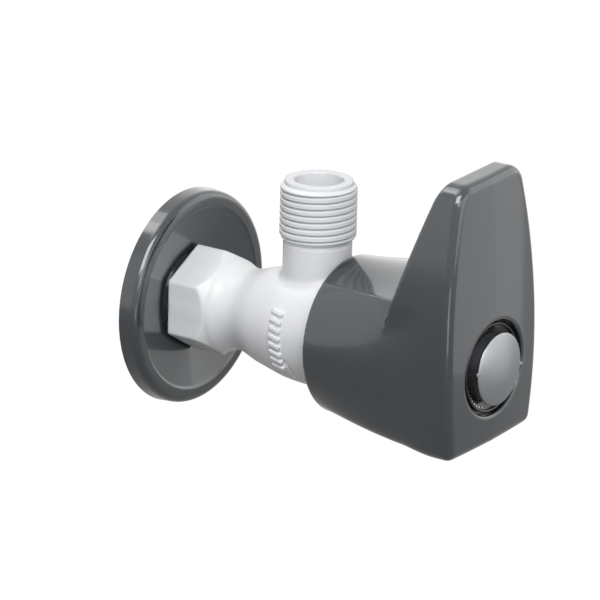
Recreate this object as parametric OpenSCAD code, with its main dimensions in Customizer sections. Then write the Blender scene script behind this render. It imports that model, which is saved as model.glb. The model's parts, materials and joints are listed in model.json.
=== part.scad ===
// Angle cock for half-inch pipe: moulded angle body, wall flange, quarter-turn ceramic
// headwork and wing handle.
// The inlet, the headwork and the handle share one axis, along Y: the wall is at +Y and the
// handle at -Y. The outlet points up, along +Z. The origin is on that axis, in the plane of
// the wall flange's back face. Depths are distances from that plane towards the handle.

/* [Pipe threads] */
// Outer diameter of the inlet and outlet threads
thread_d = 20.955; // [20.5:0.005:21.5]
// Distance from crest to crest
thread_pitch = 1.814; // [1.4:0.001:2.2]
// Height of a thread from root to crest
thread_depth = 1.162; // [0.8:0.001:1.4]

/* [Inlet] */
// How far the inlet thread reaches behind the wall flange
inlet_len = 14; // [12.5:0.5:20]
// Bore of the inlet
inlet_bore_d = 13; // [10:0.1:14]
// Plain shank between the inlet thread and the hexagon
shank_d = 20.4; // [20:0.05:20.6]

/* [Wall flange] */
// Outer diameter of the flange
flange_d = 60.2; // [54:0.2:70]
// Depth of the flange's skirt
flange_h = 5.4; // [4.8:0.1:6.5]
// Width of the raised lip inside the skirt
flange_lip_w = 4.6; // [3:0.1:6]
// Step down from the lip to the dish
flange_step = 1.1; // [0.6:0.1:1.5]
// Wall thickness of the flange
flange_wall = 1.8; // [1.2:0.1:2]
// Gap between the inlet thread and the flange's hole
flange_gap = 0.42; // [0.3:0.02:0.8]

/* [Hexagon] */
// Size across the flats
hex_af = 26.3; // [25:0.1:28]
// Depth at which the hexagon begins
hex_back = 3.7; // [3.6:0.1:4.5]
// Length of the hexagon
hex_len = 12.5; // [11:0.1:13.4]
// Length of the cone that rounds off its front
hex_cone_len = 2.8; // [1.5:0.1:4]

/* [Barrel] */
// Diameter at the narrow waist
waist_d = 22.9; // [22:0.1:24]
// Depth of the waist
waist_depth = 22.2; // [21.6:0.1:23]
// Radius of the hollow curve of the waist
waist_curve_r = 9; // [8.4:0.1:10]
// Diameter where the curve of the waist runs out
knee_d = 27; // [26:0.1:28]
// Depth of that place
knee_depth = 29.5; // [28:0.1:31]
// Diameter at the shoulder of the barrel
shoulder_d = 31.2; // [30.6:0.1:31.8]
// Depth of the shoulder
shoulder_depth = 38.5; // [37:0.1:40]
// Diameter of the barrel
barrel_d = 32.5; // [32:0.1:33.6]
// Depth at which the barrel is full size
barrel_full = 45.5; // [44:0.5:50]
// Depth of the barrel's end face
barrel_end = 60; // [58.5:0.1:61.5]

/* [Outlet] */
// Depth of the outlet's axis
outlet_depth = 44.43; // [43:0.01:45]
// Height of the outlet above the main axis
outlet_top = 41.4; // [38:0.1:46]
// Bore of the outlet
outlet_bore_d = 13.4; // [10:0.1:14]
// Number of thread crests on the outlet
outlet_crests = 8; // [6:1:8]
// Diameter of the plain neck under the thread
neck_d = 19; // [18.8:0.05:20]
// Length of the plain nose above the thread
nose_len = 1.35; // [1:0.05:2.5]

/* [Headwork housing] */
// Depth of the seat in the body
seat_depth = 33; // [32:0.1:33.6]
// Diameter of the valve chamber
chamber_d = 24.4; // [24.2:0.1:24.8]
// Diameter of the housing's screw thread
housing_thread_d = 25.2; // [25:0.1:26]
// Gap between the housing's thread and the body
housing_thread_gap = 0.1; // [0.05:0.01:0.15]
// Outer diameter of the housing's tube
housing_tube_d = 20; // [19.6:0.1:20.2]
// Bore of the tube for the discs
disc_bore_d = 17.6; // [17.2:0.1:18]
// Diameter of the housing's flange
housing_flange_d = 29.4; // [28.8:0.1:30.4]
// Thickness of the housing's flange
housing_flange_h = 2.4; // [1.5:0.1:3]
// Wrench size of the housing
housing_hex_af = 19; // [17:0.5:22]
// Length of the housing's wrench hexagon
housing_hex_h = 5.6; // [4:0.1:6]
// Angle that each side window of the housing spans
window_angle = 80; // [60:1:90]

/* [Discs and seals] */
// Height of the seat seal and its distance from seat to disc
seal_h = 3.2; // [2.6:0.1:3.6]
// Wall of the rubber seat seal
seal_wall = 1.4; // [1.1:0.1:1.6]
// Thickness of each ceramic disc
disc_h = 3.2; // [2.6:0.1:3.6]
// Angle of each waterway through the discs
port_angle = 80; // [60:1:84]
// Radius of the solid middle of the discs
disc_core_r = 2.5; // [2:0.1:3.5]
// Film of grease between faces that turn on each other
film = 0.02; // [0.01:0.01:0.05]

/* [Spindle] */
// Diameter of the spindle's stem
stem_d = 9; // [8.8:0.05:9.4]
// Running clearance of the stem in the housing, on the radius
stem_gap = 0.05; // [0.02:0.01:0.1]
// Height of the driving base
base_h = 3.6; // [3:0.1:4.2]
// Thickness of the thrust washer
washer_h = 0.7; // [0.5:0.1:1]
// Depth of the seal grooves
groove_depth = 1.8; // [1.4:0.05:2]
// Outer diameter of the spline
spline_d = 8; // [7.6:0.05:8.1]
// Teeth of the spline
spline_teeth = 20; // [12:1:24]
// Length of the spline
spline_len = 10.2; // [8:0.1:10.6]
// Angle between closed and open
turn_angle = 90; // [80:1:100]

/* [Handle] */
// Angle that the handle sits off upright on its spline when closed
handle_phase = 3.5; // [-9:0.5:9]
// Diameter of the handle's round rear rim
rim_d = 43.6; // [42:0.1:45]
// Depth of the rear rim
rim_depth = 55.6; // [55:0.1:57]
// Depth of the handle's front face at its middle
face_depth = 103.9; // [100:0.1:110]
// Greatest half width of the front
half_w = 21.4; // [20.4:0.1:24]
// Height above the axis where the front is widest
widest_y = 5; // [0:1:12]
// Radius of the curve of the front's sides
side_curve_r = 168; // [150:1:400]
// Distance from the axis down to the bottom edge
bottom_y = 21.8; // [20:0.1:24]
// Height of the deck above the axis
deck_y = 21.4; // [20:0.1:22.4]
// Height of the fin's top above the axis
fin_top = 53.9; // [45:0.1:62]
// Depth of the fin's rear edge at deck height
fin_root_depth = 84.2; // [80:0.1:88]
// How much deeper the fin's rear edge gets per unit of height
fin_slope = 0.359; // [0.25:0.005:0.42]
// Corner radius at the foot of the front
foot_corner_r = 4; // [3:0.1:6]
// Corner radius at the top of the fin
top_corner_r = 4.6; // [3:0.1:8]
// Rounding of the front edge
edge_r = 2.2; // [1:0.1:2.5]
// How much the front face bulges in the middle
face_crown = 1; // [0.4:0.1:1.6]
// How far the face falls back towards its bottom edge
fall_low = 1.1; // [0:0.1:1.5]
// How far the face falls back towards the top of the fin
fall_high = 0.6; // [0:0.1:1.2]
// Gap between the barrel and the handle's skirt round it
skirt_gap = 1.95; // [1.2:0.05:2.6]

/* [Button] */
// Diameter of the recess in the face
recess_d = 26.5; // [25:0.1:28]
// Depth of the recess
recess_h = 5.9; // [5:0.1:7]
// Height of the indicator ring
ring_h = 4.6; // [3.5:0.1:5]
// Diameter of the dome
dome_d = 20.2; // [19:0.1:21]
// How far the dome's edge stands above the middle of the face
dome_edge = 0.6; // [0:0.1:1.5]
// Height of the dome
dome_h = 1.9; // [1:0.1:3]
// Outer diameter of the cap's plug
plug_d = 18.4; // [17:0.1:18.6]
// Wall of the cap's plug
plug_wall = 1.4; // [1:0.1:2]
// Length of the cap's plug below the recess
plug_len = 8; // [6:0.1:9]

/* [Screw] */
// Diameter of the handle screw
screw_d = 4; // [3:0.5:5]
// Diameter of the screw's head
screw_head_d = 7.6; // [6.6:0.1:9]
// Height of the screw's head
screw_head_h = 2.6; // [2:0.1:3]
// Thickness of the screw's washer
screw_washer_h = 0.8; // [0.5:0.1:1.2]
// Thickness of the handle's web under the washer
web_h = 3; // [2:0.1:4]

/* [Hidden] */
$fn = 96;

// Cuts run past the faces that they open, and joined solids bite into each other
cut = 0.5;
bite = 0.1;
// Clearance between pieces that are pushed together by hand
push_gap = 0.1;
// Small and large chamfers of turned edges
chamfer_s = 0.3;
chamfer_l = 0.6;

// Threads, with flats of a sixth of the pitch on the crests and at the roots
thread_r = thread_d / 2;
root_r = thread_r - thread_depth;
crest_flat = thread_pitch / 6;
ridge_w = thread_pitch - crest_flat;
inlet_nose = 0.8;
shank_min = 2;

hex_r = hex_af / 2 / cos(30);
hex_front = hex_back + hex_len;
// The flange's collar stops just short of the hexagon
collar_gap = 0.35;
collar_top = hex_back - collar_gap;
collar_w = 2.4;
flange_hole_r = thread_r + flange_gap;
flange_draft = 0.25;
flange_edge_r = 1.4;

// Stack of the headwork, from the seat forwards
disc_bore_r = disc_bore_d / 2;
disc_r = disc_bore_r - push_gap;
rotor_gap = 0.4;
rotor_r = disc_bore_r - rotor_gap;
seal_foot_h = 1.2;
housing_foot = seat_depth + seal_foot_h;
fixed_from = seat_depth + seal_h;
moving_from = fixed_from + disc_h + film;
base_from = moving_from + disc_h;
washer_from = base_from + base_h + film;
shoulder = washer_from + washer_h + film;
housing_thread_len = 9;
thread_from = barrel_end - housing_thread_len;
o_ring_h = 1.6;
o_ring_seat = barrel_end - o_ring_h;
o_ring_room = 1.2;
flange_top = barrel_end + housing_flange_h;
nose_from = flange_top + housing_hex_h;
stem_r = stem_d / 2;
stem_bore_r = stem_r + stem_gap;
nose_wall = 2.45;
nose_r = stem_bore_r + nose_wall;
port_margin = 1.9;
lug_w = 4;
driver_w = 2.8;
driver_h = 2.1;
driver_l = 2.4;

// Stop ring, circlip and spline in front of the housing's nose
stop_h = 1.8;
stop_rim_w = 1.3;
stop_play = 0.5;
circlip_from = nose_from + stop_h + stop_play;
circlip_h = 0.9;
circlip_groove_h = 0.9;
circlip_groove_r = stem_r - circlip_groove_h;
circlip_w = 2.3;
spline_from = circlip_from + circlip_h + chamfer_s;
spindle_end = spline_from + spline_len;
spline_tooth_h = 0.4;
groove_w = 2.3;
groove_inset = 5.5;
groove_step = 5;
groove_inner = shoulder + groove_inset;
groove_outer = groove_inner + groove_step;
groove_r = stem_r - groove_depth;
// Flats that key the stop ring, just outside the spline
flat_half = spline_d / 2 + 0.1;
lug_angle = 40;
stop_spare = 1;
// The stop rim leaves the turn, the lug and one spare degree at each end
stop_rim_angle = 360 - turn_angle - lug_angle - 2 * stop_spare;

// Handle
rim_r = rim_d / 2;
rim_chamfer = 0.4;
skirt_r = barrel_d / 2 + skirt_gap;
// Upright stretch behind the front face, where the loft ends just inside the front
front_len = 5.9;
loft_end = face_depth - front_len;
loft_inset = 0.15;
loft_bulge = 0.5;
loft_belly = 0.5;
corner_power = 24;
// Place round the rim where the creases of the deck begin
crease_angle = 56.2;
crown_w = 6;
crown_margin = 13;
crown_y = 14;
bush_wall = 2.3;
bush_r = spline_d / 2 + bush_wall;
bush_grip = 0.5;
boss_wall = 2.7;
boss_r = bush_r + boss_wall;
end_play = 0.2;
web_from = spindle_end + end_play;
web_top = web_from + web_h;
nose_room = 5.5;
cavity_end = nose_from + nose_room;
recess_floor = face_depth - recess_h;
plug_floor = recess_floor - plug_len;
plug_r = plug_d / 2;
// Ribbed pocket round the boss, closed below the plug's bore
pocket_step = 1.4;
pocket_r = skirt_r - pocket_step;
pocket_roof = 1.5;
pocket_end = plug_floor - pocket_roof;
rib_w = 2;
rib_count = 6;
dome_r = dome_d / 2;
dome_from = face_depth + dome_edge;
dome_under = 1.2;
screw_r = screw_d / 2;
screw_len = 17.3;
screw_gap = push_gap / 2;
head_from = web_top + screw_washer_h;
screw_from = head_from + screw_head_h - screw_len;
head_r = screw_head_d / 2;
head_room = 0.8;
head_step = 0.8;
screw_washer_rim = 0.5;
cross_w = 0.9;
cross_h = 1.3;

// Turns the working axis, with depth as local z and up as local y, into the part's frame
module along_axis() {
  rotate([90, 0, 0]) children();
}

function blend(a, b, t) = a + (b - a) * t;
function arc(r, from, to, steps) =
  [for (i = [0:steps]) let (a = blend(from, to, i / steps)) r * [cos(a), sin(a)]];

module pie(r, angle, h) {
  linear_extrude(h) polygon(concat([[0, 0]], arc(r, -angle / 2, angle / 2, 24)));
}

module ring(r_out, r_in, h) {
  difference() {
    cylinder(r = r_out, h = h);
    translate([0, 0, -cut]) cylinder(r = r_in, h = h + 2 * cut);
  }
}

module o_ring(groove, section_r) {
  rotate_extrude() translate([groove + section_r + film, 0]) circle(r = section_r);
}

// Annular thread ridges on a core, the first ridge a run-in above z = 0
module thread_ridges(crests, run_in) {
  ridge = [[root_r, 0], [thread_r, (ridge_w - crest_flat) / 2],
           [thread_r, (ridge_w + crest_flat) / 2], [root_r, ridge_w]];
  top = run_in + crests * thread_pitch;
  rotate_extrude() polygon(concat(
    [[0, 0], [root_r - chamfer_l, 0], [root_r, chamfer_l]],
    [for (i = [0:crests - 1], p = ridge) [p.x, run_in + i * thread_pitch + p.y]],
    [[root_r, top], [0, top]]
  ));
}

module inlet_stub() {
  crests = floor((inlet_len - shank_min) / thread_pitch);
  shank_from = inlet_nose + crests * thread_pitch - bite;
  translate([0, 0, -inlet_len]) {
    thread_ridges(crests, inlet_nose);
    translate([0, 0, shank_from]) cylinder(d = shank_d, h = inlet_len + hex_back - shank_from + cut);
  }
}

module hexagon() {
  intersection() {
    translate([0, 0, hex_back]) rotate(30) cylinder(r = hex_r, h = hex_len, $fn = 6);
    rotate_extrude() polygon([
      [0, hex_back], [hex_r - chamfer_l, hex_back], [hex_r + bite, hex_back + chamfer_l],
      [hex_r, hex_front - hex_cone_len], [hex_af / 2 - chamfer_s, hex_front], [0, hex_front]
    ]);
  }
}

module barrel_form() {
  centre_r = waist_d / 2 + waist_curve_r;
  shoulder_ease = 0.2;
  rotate_extrude() polygon(concat(
    [[0, hex_back + 1], [hex_af / 2 - chamfer_s, hex_back + 1], [hex_af / 2 - film, hex_front]],
    [for (p = arc(waist_curve_r, 145, 198, 12)) [centre_r + p.x, waist_depth - p.y]],
    [[knee_d / 2, knee_depth], [shoulder_d / 2, shoulder_depth],
     [barrel_d / 2 - shoulder_ease, (shoulder_depth + barrel_full) / 2], [barrel_d / 2, barrel_full],
     [barrel_d / 2, barrel_end - chamfer_l], [barrel_d / 2 - chamfer_l, barrel_end], [0, barrel_end]]
  ));
}

module outlet_form() {
  thread_top = outlet_top - nose_len;
  thread_low = thread_top - outlet_crests * thread_pitch;
  cylinder(d = neck_d, h = thread_low + bite);
  translate([0, 0, thread_low - chamfer_l]) cylinder(d1 = neck_d, d2 = neck_d + chamfer_l, h = chamfer_l);
  translate([0, 0, outlet_top]) mirror([0, 0, 1]) thread_ridges(outlet_crests, nose_len);
}

module body() {
  color("white") difference() {
    union() {
      along_axis() {
        inlet_stub();
        hexagon();
        barrel_form();
      }
      translate([0, -outlet_depth, 0]) outlet_form();
    }
    along_axis() {
      translate([0, 0, -inlet_len - cut]) cylinder(d = inlet_bore_d, h = inlet_len + seat_depth + 2 * cut);
      translate([0, 0, seat_depth]) cylinder(d = chamber_d, h = barrel_end);
      translate([0, 0, thread_from]) cylinder(d = housing_thread_d, h = barrel_end);
      translate([0, 0, o_ring_seat]) cylinder(r = housing_thread_d / 2 + o_ring_room, h = barrel_end);
    }
    translate([0, -outlet_depth, 0]) cylinder(d = outlet_bore_d, h = outlet_top + cut);
  }
}

// Flange profile: skirt, lip, step, dish and collar in front, and the same hollowed behind
module wall_flange() {
  r = flange_d / 2;
  edge_from = flange_h - flange_edge_r;
  lip_in = r - flange_lip_w;
  step_low = flange_h - flange_step;
  dish_in = flange_hole_r + collar_w;
  dish_low = collar_top - 1;
  back_r = r - flange_wall;
  back_top = flange_h - flange_wall;
  back_in = dish_in + flange_wall;
  color("dimgray") along_axis() rotate_extrude() difference() {
    polygon(concat(
      [[flange_hole_r, 0], [r, 0], [r - flange_draft, edge_from]],
      [for (p = arc(flange_edge_r, 0, 90, 6)) [r - flange_draft - flange_edge_r + p.x, edge_from + p.y]],
      [[lip_in + chamfer_s, flange_h], [lip_in, step_low]],
      [for (i = [1:8]) let (t = i / 8)
        [blend(lip_in, dish_in, t), blend(step_low, dish_low, 1 - (1 - t) * (1 - t))]],
      [[dish_in, collar_top - chamfer_s], [dish_in - chamfer_s, collar_top], [flange_hole_r, collar_top]]
    ));
    polygon([
      [back_in, -cut], [back_r, -cut], [back_r, back_top - chamfer_l], [back_r - chamfer_l, back_top],
      [lip_in + flange_wall / 2, back_top], [lip_in - flange_wall / 2, step_low - flange_wall],
      [back_in + 1, dish_low - flange_wall * 0.9]
    ]);
  }
}

// Headwork housing: windowed tube, screw thread, flange, wrench hexagon and stop rim
module cartridge_housing() {
  tube_r = housing_tube_d / 2;
  thread_out = housing_thread_d / 2 - housing_thread_gap;
  thread_start = thread_from + push_gap;
  rim = housing_flange_d / 2;
  window_land = 1;
  window_from = fixed_from + disc_h + window_land;
  window_end = base_from + base_h - 2 * push_gap;
  color("goldenrod") along_axis() difference() {
    union() {
      rotate_extrude() polygon([
        [0, housing_foot], [tube_r - chamfer_s, housing_foot], [tube_r, housing_foot + chamfer_s],
        [tube_r, thread_start], [thread_out - chamfer_l, thread_start],
        [thread_out, thread_start + chamfer_l], [thread_out, o_ring_seat - chamfer_l],
        [chamber_d / 2, o_ring_seat], [chamber_d / 2, barrel_end], [rim, barrel_end],
        [rim, flange_top - chamfer_s], [rim - chamfer_s, flange_top], [nose_r, flange_top],
        [nose_r, nose_from], [0, nose_from]
      ]);
      translate([0, 0, flange_top - bite]) intersection() {
        rotate(30) cylinder(r = housing_hex_af / 2 / cos(30), h = housing_hex_h, $fn = 6);
        cylinder(r1 = housing_hex_af, r2 = housing_hex_af / 2 + chamfer_s, h = housing_hex_h);
      }
      translate([0, 0, nose_from - bite]) rotate(-90) intersection() {
        ring(nose_r, nose_r - stop_rim_w, stop_h + bite);
        pie(nose_r * 2, stop_rim_angle, stop_h + bite);
      }
    }
    translate([0, 0, housing_foot - cut]) cylinder(r = disc_bore_r, h = shoulder - housing_foot + cut);
    cylinder(r = stem_bore_r, h = nose_from + cut);
    for (side = [90, 270]) rotate(side) translate([0, 0, window_from])
      pie(housing_tube_d, window_angle, window_end - window_from);
    translate([0, 0, housing_foot - cut]) linear_extrude(fixed_from + disc_h - housing_foot + cut)
      square([chamber_d, lug_w + 2 * push_gap], center = true);
  }
}

module cartridge_o_ring() {
  section_r = (barrel_end - o_ring_seat) / 2 - film;
  color("black") along_axis() translate([0, 0, (barrel_end + o_ring_seat) / 2])
    o_ring(chamber_d / 2, section_r);
}

// Rubber sleeve with a foot that the housing presses on the seat
module seat_seal() {
  foot_r = disc_r + chamfer_l;
  color("black") along_axis() rotate_extrude() polygon([
    [disc_r - seal_wall, seat_depth], [foot_r, seat_depth], [foot_r, housing_foot - push_gap],
    [disc_r, housing_foot], [disc_r, fixed_from], [disc_r - seal_wall, fixed_from]
  ]);
}

module seal_support_ring() {
  r = disc_r - seal_wall;
  end_gap = 0.2;
  wall = 0.5;
  color("silver") along_axis() translate([0, 0, seat_depth + end_gap])
    ring(r, r - wall, seal_h - 2 * end_gap);
}

// The fixed disc's waterways lie up and down, and its two lugs sit in the housing's slots
module fixed_disc() {
  lug_span = housing_tube_d - 4 * push_gap;
  color("ivory") along_axis() translate([0, 0, fixed_from]) difference() {
    union() {
      cylinder(r = disc_r, h = disc_h);
      translate([-lug_span / 2, -lug_w / 2, 0]) cube([lug_span, lug_w, disc_h]);
    }
    translate([0, 0, -cut]) disc_ports(disc_r - port_margin, disc_h + 2 * cut, 90);
  }
}

module disc_ports(r_out, h, direction) {
  for (side = [0, 180]) rotate(direction + side) difference() {
    pie(r_out, port_angle, h);
    translate([0, 0, -cut]) cylinder(r = disc_core_r, h = h + 2 * cut);
  }
}

// The moving disc is open at the sides, with one driving notch in each solid half
module moving_disc() {
  color("ivory") along_axis() translate([0, 0, moving_from]) difference() {
    cylinder(r = rotor_r, h = disc_h);
    translate([0, 0, -cut]) disc_ports(rotor_r + 1, disc_h + 2 * cut, 0);
    for (side = [0, 180]) rotate(side)
      translate([-driver_w / 2 - push_gap, rotor_r - driver_l - 2 * push_gap, disc_h - driver_h - push_gap])
      cube([driver_w + 2 * push_gap, driver_l + 1, driver_h + cut]);
  }
}

function spline_outline(gap) = [for (i = [0:spline_teeth - 1], k = [0:3])
  let (step = 360 / spline_teeth, r = spline_d / 2 + gap - (k == 0 || k == 3 ? spline_tooth_h : 0))
  r * [cos((i + [0.08, 0.3, 0.7, 0.92][k]) * step), sin((i + [0.08, 0.3, 0.7, 0.92][k]) * step)]];

module double_flat(r, half, h) {
  intersection() {
    cylinder(r = r, h = h);
    translate([-half, -r, 0]) cube([2 * half, 2 * r, h]);
  }
}

// Base with two drivers and water spaces, sealed stem, flats, circlip groove and spline
module spindle() {
  flats_from = nose_from - bite;
  color("goldenrod") along_axis() difference() {
    union() {
      difference() {
        translate([0, 0, base_from]) cylinder(r = rotor_r, h = base_h);
        translate([0, 0, base_from - cut]) difference() {
          for (side = [0, 180]) rotate(side) pie(rotor_r + 1, port_angle, base_h - 1 + cut);
          cylinder(r = stem_r, h = base_h);
        }
      }
      for (side = [0, 180]) rotate(side)
        translate([-driver_w / 2, rotor_r - driver_l - push_gap, base_from - driver_h])
        cube([driver_w, driver_l, driver_h + bite]);
      rotate_extrude() polygon([
        [0, base_from], [stem_r, base_from], [stem_r, groove_inner], [groove_r, groove_inner],
        [groove_r, groove_inner + groove_w], [stem_r, groove_inner + groove_w],
        [stem_r, groove_outer], [groove_r, groove_outer], [groove_r, groove_outer + groove_w],
        [stem_r, groove_outer + groove_w],
        [stem_r, flats_from], [0, flats_from]
      ]);
      translate([0, 0, flats_from]) double_flat(stem_r, flat_half, circlip_from - flats_from);
      translate([0, 0, circlip_from]) cylinder(r = circlip_groove_r, h = circlip_h);
      translate([0, 0, circlip_from + circlip_h]) double_flat(stem_r, flat_half, chamfer_s);
      translate([0, 0, spline_from]) rotate(handle_phase)
        linear_extrude(spline_len) polygon(spline_outline(0));
    }
    translate([0, 0, nose_from]) cylinder(r = screw_r, h = spindle_end);
  }
}

module thrust_washer() {
  color("white") along_axis() translate([0, 0, washer_from])
    ring(rotor_r - rotor_gap, stem_r + push_gap, washer_h);
}

module spindle_o_ring(groove_from) {
  section_r = groove_depth / 2 - film / 2;
  color("black") along_axis() translate([0, 0, groove_from + groove_w / 2]) o_ring(groove_r, section_r);
}

module spindle_o_ring_inner() {
  spindle_o_ring(groove_inner);
}

module spindle_o_ring_outer() {
  spindle_o_ring(groove_outer);
}

// The lug starts one degree off the stop rim and ends one degree off its other end
module stop_ring() {
  lug_from = stop_rim_angle / 2 + stop_spare;
  color("white") along_axis() translate([0, 0, nose_from + push_gap]) difference() {
    union() {
      cylinder(r = nose_r - stop_rim_w - 2 * push_gap, h = stop_h);
      rotate(-90 + lug_from + lug_angle / 2) pie(nose_r - push_gap, lug_angle, stop_h);
    }
    translate([0, 0, -cut]) double_flat(stem_r + push_gap, flat_half + push_gap, stop_h + 2 * cut);
  }
}

module circlip() {
  side_gap = push_gap / 2;
  r_in = circlip_groove_r + side_gap;
  mouth_angle = 60;
  color("silver") along_axis() translate([0, 0, circlip_from + side_gap]) difference() {
    ring(circlip_groove_r + circlip_w, r_in, circlip_h - 2 * side_gap);
    translate([0, 0, -cut]) rotate(180) pie(stem_r * 3, mouth_angle, circlip_h + 2 * cut);
  }
}

// Splined brass bush, with grooves that hold it in the moulded handle
module spline_bush() {
  bush_len = web_from - spline_from;
  land = 2.2;
  land_count = 3;
  land_step = (bush_len - land - 2 * chamfer_l) / (land_count - 1);
  color("goldenrod") along_axis() translate([0, 0, spline_from]) rotate(handle_phase) difference() {
    union() {
      cylinder(r = bush_r - bush_grip, h = bush_len);
      for (i = [0:land_count - 1])
        translate([0, 0, chamfer_l + i * land_step]) cylinder(r = bush_r, h = land);
    }
    translate([0, 0, -cut]) linear_extrude(web_from) polygon(spline_outline(push_gap / 2));
  }
}

// Half width of the handle's front at a height
function side_x(y) = half_w - pow(y - widest_y, 2) / (2 * side_curve_r);

// Front outline below the deck, seen from the axis at an angle: a flat deck with sharp
// corners above, and a softened square below
function lower_front(angle) =
  let (c = abs(cos(angle)), s = sin(angle), w = half_w - loft_inset, b = bottom_y - loft_inset,
       r = s > 0 ? min(w / max(c, 0.001), deck_y / max(s, 0.001))
                 : pow(pow(c / w, corner_power) + pow(-s / b, corner_power), -1 / corner_power),
       y = r * s)
  [r * cos(angle) * side_x(y) / half_w, y];

// The deck's corner on the front belongs to its crease on the round rim
function front_angle(a) =
  let (corner = atan2(deck_y, half_w - loft_inset))
  a < 180 - crease_angle ? 90 + (a - 90) * (90 - corner) / (90 - crease_angle)
                         : 270 + (a - 270) * (180 - (90 - corner)) / (180 - (90 - crease_angle));

rim_angles = concat(
  [for (i = [0:13]) blend(crease_angle, 180 - crease_angle, i / 14)],
  [for (i = [0:49]) blend(180 - crease_angle, 360 + crease_angle, i / 50)]
);

function loft_ring(t, rim) = [for (a = rim_angles)
  let (bulge = loft_bulge + loft_belly * max(0, -sin(a)),
       p = blend(rim * [cos(a), sin(a)], lower_front(front_angle(a)), t + bulge * t * (1 - t)))
  [p.x, p.y, blend(rim_depth, loft_end, t)]];

// Skin over rings that have the same number of points
module skin(rings) {
  n = len(rings[0]);
  last = len(rings) - 1;
  polyhedron(
    points = [for (r = rings, p = r) p],
    faces = concat(
      [[for (i = [0:n - 1]) i]],
      [for (k = [0:last - 1], i = [0:n - 1]) let (a = k * n + i, b = k * n + (i + 1) % n) [a, a + n, b]],
      [for (k = [0:last - 1], i = [0:n - 1]) let (a = k * n + i, b = k * n + (i + 1) % n) [b, a + n, b + n]],
      [[for (i = [n - 1:-1:0]) last * n + i]]
    )
  );
}

// Round rim blending into the square front, with a creased flat deck on top
module handle_barrel() {
  first = loft_ring(0, rim_r - rim_chamfer);
  rings = concat([first], [for (i = [0:6]) loft_ring(max(i / 6, 0.01), rim_r)]);
  skin(rings);
}

// How far the front's edge lies back at a height, measured from the middle of the crown
function face_fall(y) =
  y < crown_y ? fall_low * pow((crown_y - y) / (crown_y + bottom_y - foot_corner_r), 2)
              : fall_high * pow((y - crown_y) / (fin_top - top_corner_r - crown_y), 2);

// A puck with a rounded front edge, which the hull of the front rolls round its corners
module puck(r, fall) {
  from = fin_root_depth - 20;
  front = face_depth - face_crown - fall;
  for (a = [0:22.5:90]) translate([0, 0, from])
    cylinder(r = r - edge_r + edge_r * cos(a), h = front - edge_r + edge_r * sin(a) - from);
}

// Upright front of the handle with its fin, cut off along the slanted rear edge
module fin() {
  low = -bottom_y - 5;
  high = fin_top + 5;
  shoulder_y = deck_y - 6;
  rear_high = fin_root_depth + (high - deck_y) * fin_slope;
  stations = 5;
  intersection() {
    hull() {
      for (side = [-1, 1], i = [0:stations])
        let (r = i == stations ? top_corner_r : foot_corner_r,
             y = blend(foot_corner_r - bottom_y, fin_top - top_corner_r, i / stations))
        translate([side * (side_x(y) - r), y, 0]) puck(r, face_fall(y), $fn = 32);
      translate([-crown_w / 2, crown_margin - bottom_y, face_depth - face_crown - 1])
        cube([crown_w, bottom_y + fin_top - 2 * crown_margin, 1 + face_crown]);
    }
    rotate([90, 0, 90]) translate([0, 0, -half_w * 2]) linear_extrude(half_w * 4) polygon([
      [low, loft_end - cut], [-2, loft_end - cut], [shoulder_y - 4, fin_root_depth + cut],
      [shoulder_y, fin_root_depth - 6 * fin_slope], [high, rear_high], [high, face_depth * 1.2],
      [low, face_depth * 1.2]
    ]);
  }
}

// Moulded handle: skirt over the barrel, ribbed pocket, boss for the bush, web and button well
module handle() {
  color("dimgray") along_axis() rotate(handle_phase) difference() {
    union() {
      handle_barrel();
      fin();
    }
    translate([0, 0, rim_depth - cut]) cylinder(r = skirt_r, h = cavity_end - rim_depth + cut);
    translate([0, 0, cavity_end - cut]) difference() {
      cylinder(r = pocket_r, h = pocket_end - cavity_end + cut);
      translate([0, 0, -cut]) cylinder(r = boss_r, h = pocket_end);
      for (i = [0:rib_count - 1]) rotate((i + 0.5) * 360 / rib_count)
        translate([0, -rib_w / 2, cut]) cube([skirt_r + 1, rib_w, pocket_end]);
    }
    translate([0, 0, spline_from - cut]) cylinder(r = bush_r, h = web_from - spline_from + cut);
    cylinder(r = screw_r + 2 * push_gap, h = face_depth);
    translate([0, 0, web_top]) cylinder(r = head_r + head_room, h = face_depth);
    translate([0, 0, plug_floor]) cylinder(r = plug_r + push_gap, h = face_depth);
    translate([0, 0, recess_floor]) cylinder(d = recess_d, h = face_depth);
  }
}

module handle_screw() {
  color("silver") along_axis() difference() {
    union() {
      translate([0, 0, screw_from]) cylinder(r = screw_r - screw_gap, h = head_from - screw_from);
      translate([0, 0, head_from]) rotate_extrude() polygon([
        [0, 0], [head_r, 0], [head_r, screw_head_h * 0.5], [head_r - head_step, screw_head_h * 0.9],
        [head_r - 2 * head_step, screw_head_h], [0, screw_head_h]
      ]);
    }
    for (turn = [0, 90]) rotate(turn)
      translate([-head_r / 2, -cross_w / 2, head_from + screw_head_h - cross_h])
      cube([head_r, cross_w, cross_h + cut]);
  }
}

module screw_washer() {
  color("silver") along_axis() translate([0, 0, web_top])
    ring(head_r + screw_washer_rim, screw_r + push_gap, screw_washer_h);
}

// Dished black ring with a raised outer lip, seated on the recess's floor
module indicator_ring() {
  r = recess_d / 2 - push_gap;
  r_in = plug_r + 1.5 * push_gap;
  lip_w = 0.8;
  dish_h = 0.9;
  color("black") along_axis() translate([0, 0, recess_floor]) rotate_extrude() polygon([
    [r_in, 0], [r, 0], [r, ring_h], [r - lip_w / 2, ring_h + chamfer_s], [r - lip_w, ring_h],
    [r - lip_w - chamfer_s, ring_h - chamfer_l], [r_in, ring_h - dish_h]
  ]);
}

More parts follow.
